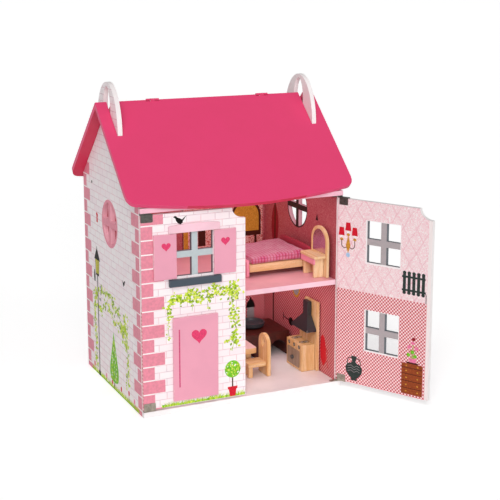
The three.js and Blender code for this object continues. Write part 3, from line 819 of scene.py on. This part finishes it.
def right_gable_prints():
    board = Print("right_gable_print", (INNER_X, 0, 0), (0, 1, 0), (-1, 0, 0), "house", "wall_paper_board")
    curtain = [(90, 172), (96, 195), (98, 215), (93, 238), (84, 248), (76, 236), (72, 215), (75, 195),
               (80, 172)]
    board.fill(smooth_path(curtain), deep_red)
    board.fill(rect(83, 87, 170, 250), dark_brown, 1)
    board.fill([(-58, 249), (-66, 249), (-64, 254), (-62, 260), (-60, 254)], black)
    board.fill(rect(88, 92.5, 40, 98), dark_brown)
    board.fill(oval(90.2, 108, 11, 15), dark_brown)
    board.fill(oval(90.2, 108, 7.5, 11), grey, 1)
    board.fill(oval(7, 128, 15, 21, 26), gold)
    board.fill(oval(7, 128, 11.5, 17, 26), grey, 1)
    board.fill(oval(7, 131, 5.5, 9, 14), black, 2)
    board.fill(stroke([(52, 56), (52, 70)], 1.8), black)
    board.fill(stroke([(52, 64), (40, 62), (30, 62)], 1.8), black)
    board.fill(oval(24, 61, 8, 7), black)
    apron = [(-80, 66), (-86, 71), (-92, 66), (-96, 52), (-97, 30), (-88, 20), (-80, 30), (-78, 50)]
    board.fill(apron, red)
    board.fill(stroke(smooth_path([(-94, 52), (-101, 46), (-99, 36), (-104, 20)]), 1.4), red)
    board.place()


def cooker_prints():
    low, high = span("cooker_body")
    board = Print("cooker_front_print", (low.x, 0, 0), (0, 1, 0), (-1, 0, 0), "house", "natural_wood")
    dial_z = high.z - 5
    for y in (low.y + 9, (low.y + high.y) / 2, high.y - 9):
        board.fill(oval(y, dial_z, 3.1, 3.1, 16), soft_black)
        board.fill(oval(y, dial_z, 1.7, 1.7, 12), grey, 1)
    board.place()
    low, high = span("cooker_hob")
    top = bmesh.new()
    for x in (low.x + 6.5, high.x - 7):
        for y in (low.y + 11, high.y - 11):
            for outer, inner, lift, number in ((5.2, 4.1, 0.14, 0), (2.4, 0.0, 0.12, 1)):
                add_ring(top, (x, y, high.z), outer, inner, lift, number)
    add_piece("hob_rings", top, [soft_black, grey], "house", "natural_wood")


def add_ring(mesh, centre, outer, inner, lift, number):
    """Closed flat ring, or a disc where inner is 0, lying on a level face."""
    count = 28
    turns = [2 * math.pi * i / count for i in range(count)]
    x, y, z = centre

    def loop(radius, height):
        return [mesh.verts.new(((x + radius * math.cos(turn)) * MM, (y + radius * math.sin(turn)) * MM,
                                (z + height) * MM)) for turn in turns]

    out_low, out_high = loop(outer, PRINT_FOOT), loop(outer, lift)
    faces = []
    if inner:
        in_low, in_high = loop(inner, PRINT_FOOT), loop(inner, lift)
        rings = ((out_low, out_high), (out_high, in_high), (in_high, in_low), (in_low, out_low))
    else:
        faces += [mesh.faces.new(out_low), mesh.faces.new(out_high)]
        rings = ((out_low, out_high),)
    for a, b in rings:
        for i in range(count):
            j = (i + 1) % count
            faces.append(mesh.faces.new((a[i], a[j], b[j], b[i])))
    for face in faces:
        face.material_index = number
    bmesh.ops.recalc_face_normals(mesh, faces=faces)


# ---------------------------------------------------------------- CAD pieces

def dress(names, materials, rule=None):
    """Gives CAD nodes their materials. rule picks a material's number from a face's normal and centre."""
    for name in names if isinstance(names, list) else [names]:
        mesh = nodes[name].data
        mesh.materials.clear()
        for material in materials:
            mesh.materials.append(material)
        for face in mesh.polygons:
            face.material_index = rule(face.normal, face.center / MM) if rule else 0


def soften(name, width):
    """Rounds a CAD node's sharp edges a little, as sanding does, and shades its curves smoothly."""
    piece = nodes[name]
    mesh = piece.data
    if "custom_normal" in mesh.attributes:
        mesh.attributes.remove(mesh.attributes["custom_normal"])
    if "sharp_edge" in mesh.attributes:
        mesh.attributes.remove(mesh.attributes["sharp_edge"])
    for face in mesh.polygons:
        face.use_smooth = True
    weld = piece.modifiers.new("weld", "WELD")
    weld.merge_threshold = 0.01 * MM
    merge = piece.modifiers.new("merge", "DECIMATE")
    merge.decimate_type = "DISSOLVE"
    merge.angle_limit = math.radians(0.4)
    merge.delimit = {"MATERIAL"}
    bevel = piece.modifiers.new("bevel", "BEVEL")
    bevel.width = width * MM
    bevel.segments = 2
    bevel.limit_method = "ANGLE"
    bevel.angle_limit = math.radians(38)
    bevel.harden_normals = True
    bevel.use_clamp_overlap = True


U_RIGHT = Vector((0.47716, -0.87882, 0))
OUT_RIGHT = Vector((0.87882, 0.47716, 0))
RIGHT_INNER = PIVOT - OUT_RIGHT * 4.0


def dress_carcass():
    porthole = (RIDGE[0], PORTHOLE_Z)
    white_edge = painted("white_edge", WHITE)
    outer = brick_wall("brick_gable", (0, 1, 0), (0, 0, 0), ((BACK_Y, -1), (FRONT_Y + WALL, 1)), porthole)
    # The gables' inner paper takes the darker room tones, which are painted shade.
    inner = wallpaper("wallpaper_side", (0, 1, 0), (0, 0, 0), porthole=porthole)
    reveal = painted("porthole_reveal", "D9A0AC")

    def gable_face(side):
        def rule(normal, centre):
            if abs(normal.x) > 0.9:
                return 0 if normal.x * side > 0 else 1
            near = math.hypot(centre.y - RIDGE[0], centre.z - PORTHOLE_Z) < PORTHOLE_R + 0.5
            return 3 if near else 2
        return rule

    dress("left_gable", [outer, inner, white_edge, reveal], gable_face(-1))
    dress("right_gable", [outer, inner, white_edge, reveal], gable_face(1))
    back_outer = brick_wall("brick_back", (1, 0, 0), (0, 0, 0), ((INNER_X, -1), (-INNER_X, 1)))
    # The back wall's inner paper takes the darker room tones, which are painted shade.
    back_inner = wallpaper("wallpaper_back", (1, 0, 0), (0, 0, 0))
    dress("back_wall", [back_outer, back_inner, white_edge],
          lambda n, c: 0 if n.y > 0.9 else (1 if n.y < -0.9 else 2))
    dress("base_board", [painted("base_paint", "F6ECEC", span("base_board")), painted("base_edge", "FAF5F5")],
          lambda n, c: 0 if n.z > 0.9 else 1)
    dress("middle_floor", [painted("middle_paint", "F2B0BB"), painted("middle_edge", "F9CDD9")],
          lambda n, c: 0 if abs(n.z) > 0.9 else 1)
    dress("attic_floor", [painted("attic_paint", "F3B6C4"), painted("attic_edge", "F6BDCD")],
          lambda n, c: 0 if abs(n.z) > 0.9 else 1)
    roof = painted("roof_paint", ROOF_PINK, mottling=0.006)
    # The end faces get a lighter copy of the roof paint, as painted light.
    roof_edge = painted("roof_edge_painted_light", ROOF_EDGE_LIT, mottling=0.008)
    # The underside gets a darker copy of the roof paint, as painted shade.
    under = painted("roof_under_painted_shade", "D61C4C", mottling=0.01)

    def roof_face(normal, _):
        if abs(normal.z) > 0.6 and abs(normal.x) < 0.1:
            return 0 if normal.z > 0 else 2
        return 1

    for name in ("roof_front_panel", "roof_back_panel"):
        dress(name, [roof, roof_edge, under], roof_face)


def in_window(u, v, windows):
    edge = 0.4
    return any(u0 - edge < u < u1 + edge and v0 - edge < v < v1 + edge for u0, u1, v0, v1 in windows)


def dress_doors():
    upper = (*WINDOW_U, *UPPER_WINDOW_Z)
    lower = (*WINDOW_U, *LOWER_WINDOW_Z)
    white_edge = painted("door_edge", "F5F0EF")
    reveal = painted("window_reveal", "6C7178")
    left_u = (1, 0, 0)
    left_origin = (-PIVOT.x, PIVOT.y, 0)
    left_outer = brick_wall("brick_left_door", left_u, left_origin, ((-1.2, 1),), panes=(upper,),
                            first_row=DOOR_FIRST_ROW)
    left_inner = wallpaper("wallpaper_left_door", left_u, left_origin, DOOR_TONES, 153.4, (upper,))
    right_outer = brick_wall("brick_right_door", U_RIGHT, PIVOT, ((-1.2, 1),), panes=(upper, lower),
                             first_row=DOOR_FIRST_ROW)
    right_inner = wallpaper("wallpaper_right_door", U_RIGHT, PIVOT, DOOR_TONES, 151.8, (upper, lower))

    def door_face(u_axis, origin, out, windows):
        def rule(normal, centre):
            facing = normal.dot(out)
            if facing > 0.9:
                return 0
            if facing < -0.9 or (centre - origin).dot(u_axis) < 0 and facing < 0.3:
                return 1
            return 3 if in_window((centre - origin).dot(u_axis), centre.z, windows) else 2
        return rule

    dress("left_door", [left_outer, left_inner, white_edge, reveal],
          door_face(Vector(left_u), Vector(left_origin), Vector((0, -1, 0)), (upper,)))
    dress("right_door", [right_outer, right_inner, white_edge, reveal],
          door_face(U_RIGHT, PIVOT, OUT_RIGHT, (upper, lower)))
    dress("left_door_lintel", [painted("lintel_paint", PALE_PINK, span("left_door_lintel"))])
    sill = painted("sill_paint", SLATE)
    dress(["left_door_sill", "right_door_upper_sill", "right_door_lower_sill"], [sill])
    for name in ("left_shutter_outer", "left_shutter_inner", "front_door_panel"):
        dress(name, [painted(f"{name}_paint", PINK, span(name), mottling=0.012)])


def dress_furniture():
    pink = painted("furniture_pink", "EE92A8")
    along_x = wood("wood_along_x", (1, 0, 0))
    along_z = wood("wood_along_z", (0, 0, 1))
    dress(["bed_footboard", "dressing_table_drawer"], [pink])
    # The headboard is the bed's pink darkened to deep rose, as painted shade.
    dress("bed_headboard", [painted("headboard_pink_painted_shade", "AD3549")])
    dress(["bed_front_rail", "bed_back_rail", "bed_base", "chair_seat"], [along_x])
    dress("dressing_table_top", [wood("table_top_wood", (0, 1, 0), "F7D9B4", "DFB27C")])
    # The counter's natural wood is darkened to deep brown, as painted shade.
    dress("counter", [wood("counter_wood_painted_shade", (0, 1, 0), "561C10", "40130B")])
    dress(["dressing_table_board", "dressing_table_front_side", "dressing_table_back_side"],
          [wood("dressing_table_wood", (0, 0, 1), "F7D9B4", "DFB27C")])
    dress(["cooker_board", "cooker_body", "chair_back", "chair_front_leg", "table_left_trestle",
           "table_right_trestle"], [along_z])
    dress("cooker_hob", [wood("wood_hob", (0, 1, 0), roughness=0.4)])
    dress("table_top", [painted("table_paint", "F6CFCB"), along_x], lambda n, c: 0 if abs(n.z) > 0.5 else 1)
    dress("oven_door", [wood("oven_front", (0, 0, 1), "A98F78", "8A6F5C")])
    dress("oven_knob", [painted("knob_paint", "4A4745")])
    dress("extractor_hood", [painted("hood_paint", "2E2E32", span("extractor_hood"))])
    dress("basin", [painted("basin_paint", "3A3F44")])
    dress("dressing_table_mirror", [mirror("mirror_foil")])


def dress_hardware():
    dark = metal("steel_dull", "6E6B66")
    bright = metal("steel_zinc", "B5AFA0")
    dress(["left_top_bracket", "right_top_bracket", "left_top_pivot", "right_top_pivot"], [dark])
    dress(["left_bottom_bracket", "right_bottom_bracket", "left_bottom_pivot", "right_bottom_pivot"],
          [bright])
    dress([f"roof_hinge_{side}_{kind}" for side in ("left", "right") for kind in ("fixed", "moving")],
          [painted("hinge_paint", ROOF_PINK)])
    levels = (("lower", 16.5, bright), ("upper", 291.8, dark))
    for level, z, finish in levels:
        screw(Vector((-152, FRONT_Y, z)), Vector((0, -1, 0)), 2.1, "left_door", f"left_{level}_screw", finish)
    inner = RIGHT_INNER + U_RIGHT * 9.5
    for level, z, finish in levels:
        screw(Vector((inner.x, inner.y, z)), -OUT_RIGHT, 1.9, "right_door", f"right_{level}_screw", finish)
    for name, y, z in (("cam_disc_front", -83.5, 309.7), ("cam_disc_back", 87.3, 309.7)):
        for side, x in (("left", -OUTER_X), ("right", OUTER_X)):
            out = Vector((math.copysign(1, x), 0, 0))
            screw(Vector((x, y, z)), out, 2.4, "house", f"{side}_{name}", dark)


def screw(place, out, radius, body, name, material):
    """Low domed screw head with a cross recess, standing on a face."""
    mesh = bmesh.new()
    count = 24
    turns = [2 * math.pi * i / count for i in range(count)]
    rings = []
    for r, z in ((radius, PRINT_FOOT), (radius, 0.25), (radius * 0.8, 0.5), (radius * 0.42, 0.62)):
        rings.append([mesh.verts.new((r * math.cos(turn), r * math.sin(turn), z)) for turn in turns])
    recess = []
    for turn in turns:
        reach = radius * (0.12 + 0.28 * abs(math.cos(2 * turn)) ** 3)
        recess.append(mesh.verts.new((reach * math.cos(turn), reach * math.sin(turn), 0.2)))
    rings.append(recess)
    for low, high in zip(rings, rings[1:]):
        for i in range(count):
            j = (i + 1) % count
            mesh.faces.new((low[i], low[j], high[j], high[i]))
    mesh.faces.new(rings[0][::-1])
    mesh.faces.new(rings[-1])
    bmesh.ops.recalc_face_normals(mesh, faces=mesh.faces)
    mesh.normal_update()
    for face in mesh.faces:
        face.smooth = abs(face.normal.z) < 0.98
    upright = Vector((0, 0, 1)).rotation_difference(out).to_matrix().to_4x4()
    mesh.transform(Matrix.Translation(place * MM) @ upright @ Matrix.Scale(MM, 4))
    add_piece(name, mesh, [material], body, "steel")


# ---------------------------------------------------------------- mattress

PAD_VOXEL = 2.4
PAD_PRESSURE = 4
PAD_FRAMES = 20
PAD_SWELL = 1.5
PAD_CROWN = 0.9
PAD_TUFT = 0.35
PAD_PINCH = 0.5


def evaluated_copy(piece, name):
    """New mesh data with the piece's modifiers applied."""
    graph = bpy.context.evaluated_depsgraph_get()
    data = bpy.data.meshes.new_from_object(piece.evaluated_get(graph))
    data.name = name
    return data


def make_mattress():
    """Stuffed gingham pad, puffed by the cloth solver inside its CAD solid and finished with edge seams."""
    low, high = span("mattress")
    centre = (low + high) / 2
    piece = link("mattress_pad", nodes["mattress"].data.copy())
    for point in piece.data.vertices:
        here = point.co / MM
        point.co = Vector((centre.x + (here.x - centre.x) * 0.965, centre.y + (here.y - centre.y) * 0.97,
                           low.z + 0.5 + (here.z - low.z) * 0.84)) * MM
    weld = piece.modifiers.new("weld", "WELD")
    weld.merge_threshold = 0.01 * MM
    remesh = piece.modifiers.new("remesh", "REMESH")
    remesh.mode = "VOXEL"
    remesh.voxel_size = PAD_VOXEL * MM
    piece.data = evaluated_copy(piece, "mattress_pad")
    piece.modifiers.clear()
    start = [point.co.copy() for point in piece.data.vertices]
    cloth = piece.modifiers.new("cloth", "CLOTH")
    cloth.settings.quality = 6
    cloth.settings.use_pressure = True
    cloth.settings.uniform_pressure_force = PAD_PRESSURE
    cloth.settings.effector_weights.gravity = 0
    scene = bpy.context.scene
    for step in range(1, PAD_FRAMES + 1):
        scene.frame_set(step)
    swollen = evaluated_copy(piece, "mattress_swollen")
    cap = PAD_SWELL * MM
    for point, moved, first in zip(piece.data.vertices, swollen.vertices, start):
        shift = moved.co - first
        if shift.length > cap:
            shift = shift.normalized() * cap
        point.co = first + shift
    piece.modifiers.clear()
    scene.frame_set(1)
    for point in piece.data.vertices:
        here = point.co / MM
        across = (here.x - low.x) / (high.x - low.x)
        along = (here.y - low.y) / (high.y - low.y)
        crown = math.sin(math.pi * min(max(across, 0), 1)) * math.sin(math.pi * min(max(along, 0), 1))
        lift = (here.z - low.z) / (high.z - low.z)
        tuft = math.sin(across * 5 * math.pi) * math.sin(along * 6 * math.pi)
        here.z += max(lift, 0) * (PAD_CROWN * crown + PAD_TUFT * tuft)
        pinch = PAD_PINCH * math.sin(along * 22 * math.pi) * max(lift, 0)
        if here.y < low.y + 5:
            here.y -= pinch
        here.z = min(max(here.z, low.z + 0.15), high.z + 0.8)
        here.x = min(max(here.x, low.x + 0.1), high.x - 0.1)
        here.y = max(min(here.y, high.y), low.y - 0.6)
        point.co = here * MM
    for face in piece.data.polygons:
        face.use_smooth = True
    smooth = piece.modifiers.new("smooth", "SUBSURF")
    smooth.levels = 1
    smooth.render_levels = 1
    piece.data.materials.clear()
    piece.data.materials.append(check_cloth("gingham_cloth", low))
    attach(piece, "house")
    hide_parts("mattress")


# ---------------------------------------------------------------- camera, lights and floor

CAMERA_PLACE = (-0.7022, -1.6496, 0.6405)
CAMERA_TILT = 78.47
CAMERA_TURN = -25.03
CAMERA_LENS = 85.35
CAMERA_SHIFT_Y = -0.09
WORLD_LIGHT = 0.36
# Name, azimuth and elevation in degrees, and strength. Azimuth 0 is straight in front, minus is to the left.
LAMPS = (("key", -32, 38, 1.1), ("front", -14, 9, 0.8), ("side", 30, 15, 0.3))
LAMP_SOFTNESS = 24
# Soft fill under each ceiling, since the rooms get little light through the openings: name and height in mm
ROOM_LAMPS = (("upper_room_fill", 299), ("lower_room_fill", 160))
ROOM_LAMP_POWER = 0.18
ROOM_LAMP_SIZE = (0.29, 0.22)
STAGE_HALF = 30.0
FLOOR_Z = -0.2 * MM
GLOW_Z = -0.1 * MM
BACKDROP_FOOT = -1.0
FLOOR_GLOW = 0.4


def set_camera():
    lens = bpy.data.cameras.new("camera")
    lens.lens = CAMERA_LENS
    lens.sensor_width = 36
    lens.shift_y = CAMERA_SHIFT_Y
    lens.clip_end = 100
    camera = link("camera", lens)
    camera.location = CAMERA_PLACE
    camera.rotation_euler = (math.radians(CAMERA_TILT), 0, math.radians(CAMERA_TURN))
    bpy.context.scene.camera = camera


def set_lights():
    scene = bpy.context.scene
    world = bpy.data.worlds.new("studio")
    world.use_nodes = True
    background = world.node_tree.nodes["Background"]
    background.inputs["Color"].default_value = (1, 1, 1, 1)
    background.inputs["Strength"].default_value = WORLD_LIGHT
    scene.world = world
    scene.view_settings.view_transform = "Standard"
    for name, azimuth, elevation, strength in LAMPS:
        sun = bpy.data.lights.new(name, "SUN")
        sun.energy = strength
        sun.angle = math.radians(LAMP_SOFTNESS)
        link(name, sun).rotation_euler = (math.radians(90 - elevation), 0, math.radians(azimuth))
    for name, z in ROOM_LAMPS:
        panel = bpy.data.lights.new(name, "AREA")
        panel.shape = "RECTANGLE"
        panel.size, panel.size_y = ROOM_LAMP_SIZE
        panel.energy = ROOM_LAMP_POWER
        lamp = link(name, panel)
        lamp.location = (0, 0, z * MM)
        lamp.visible_camera = False
        lamp.visible_glossy = False


def square(z):
    half = STAGE_HALF
    return [(-half, -half, z), (half, -half, z), (half, half, z), (-half, half, z)]


def set_floor():
    floor_mesh = bpy.data.meshes.new("floor")
    floor_mesh.from_pydata(square(FLOOR_Z), [], [(0, 1, 2, 3)])
    floor = link("floor", floor_mesh)
    paint = Paint("floor_paper", roughness=0.9)
    tone = paint.mix(paint.noise(300, 2), "FBFBFB", "FDFDFD")
    floor_mesh.materials.append(paint.finish(tone))
    camera_only("floor_glow", square(GLOW_Z), [(0, 1, 2, 3)], FLOOR_GLOW, True)
    sides = 24
    turns = [2 * math.pi * i / sides for i in range(sides)]
    points = [(STAGE_HALF * math.cos(turn), STAGE_HALF * math.sin(turn), z)
              for z in (BACKDROP_FOOT, STAGE_HALF) for turn in turns]
    walls = [(i, (i + 1) % sides, sides + (i + 1) % sides, sides + i) for i in range(sides)]
    camera_only("backdrop", points, walls, 1.0, False)


def camera_only(name, points, faces, strength, see_through):
    """Stage surface that glows for the camera and lights nothing."""
    mesh = bpy.data.meshes.new(name)
    mesh.from_pydata(points, [], faces)
    piece = link(name, mesh)
    piece.visible_diffuse = False
    piece.visible_glossy = False
    piece.visible_transmission = False
    piece.visible_volume_scatter = False
    piece.visible_shadow = False
    material = bpy.data.materials.new(name)
    material.use_nodes = True
    tree = material.node_tree
    tree.nodes.remove(tree.nodes["Principled BSDF"])
    glow = tree.nodes.new("ShaderNodeEmission")
    glow.inputs["Strength"].default_value = strength
    end = tree.nodes["Material Output"].inputs["Surface"]
    if see_through:
        clear = tree.nodes.new("ShaderNodeBsdfTransparent")
        both = tree.nodes.new("ShaderNodeAddShader")
        tree.links.new(glow.outputs[0], both.inputs[0])
        tree.links.new(clear.outputs[0], both.inputs[1])
        tree.links.new(both.outputs[0], end)
    else:
        tree.links.new(glow.outputs[0], end)
    mesh.materials.append(material)


# Rounding of the edges, in millimetres, where it isn't the usual one
BEVELS = {
    "roof_front_panel": 1.2, "roof_back_panel": 1.2, "bed_footboard": 1.0, "bed_headboard": 1.0,
    "chair_back": 0.9, "left_gable": 0.7, "right_gable": 0.7, "left_door": 0.5, "right_door": 0.5,
}
USUAL_BEVEL = 0.6
THIN_BEVEL = 0.15
THIN = ("bracket", "pivot", "hinge", "mirror", "hob", "oven")

dress_carcass()
dress_doors()
dress_furniture()
dress_hardware()
for node in nodes:
    if node != "mattress":
        thin = any(word in node for word in THIN)
        soften(node, BEVELS.get(node, THIN_BEVEL if thin else USUAL_BEVEL))
left_door_prints()
left_gable_prints()
right_door_prints(U_RIGHT, -OUT_RIGHT, RIGHT_INNER)
back_wall_prints()
right_gable_prints()
cooker_prints()
make_mattress()
set_camera()
set_lights()
set_floor()
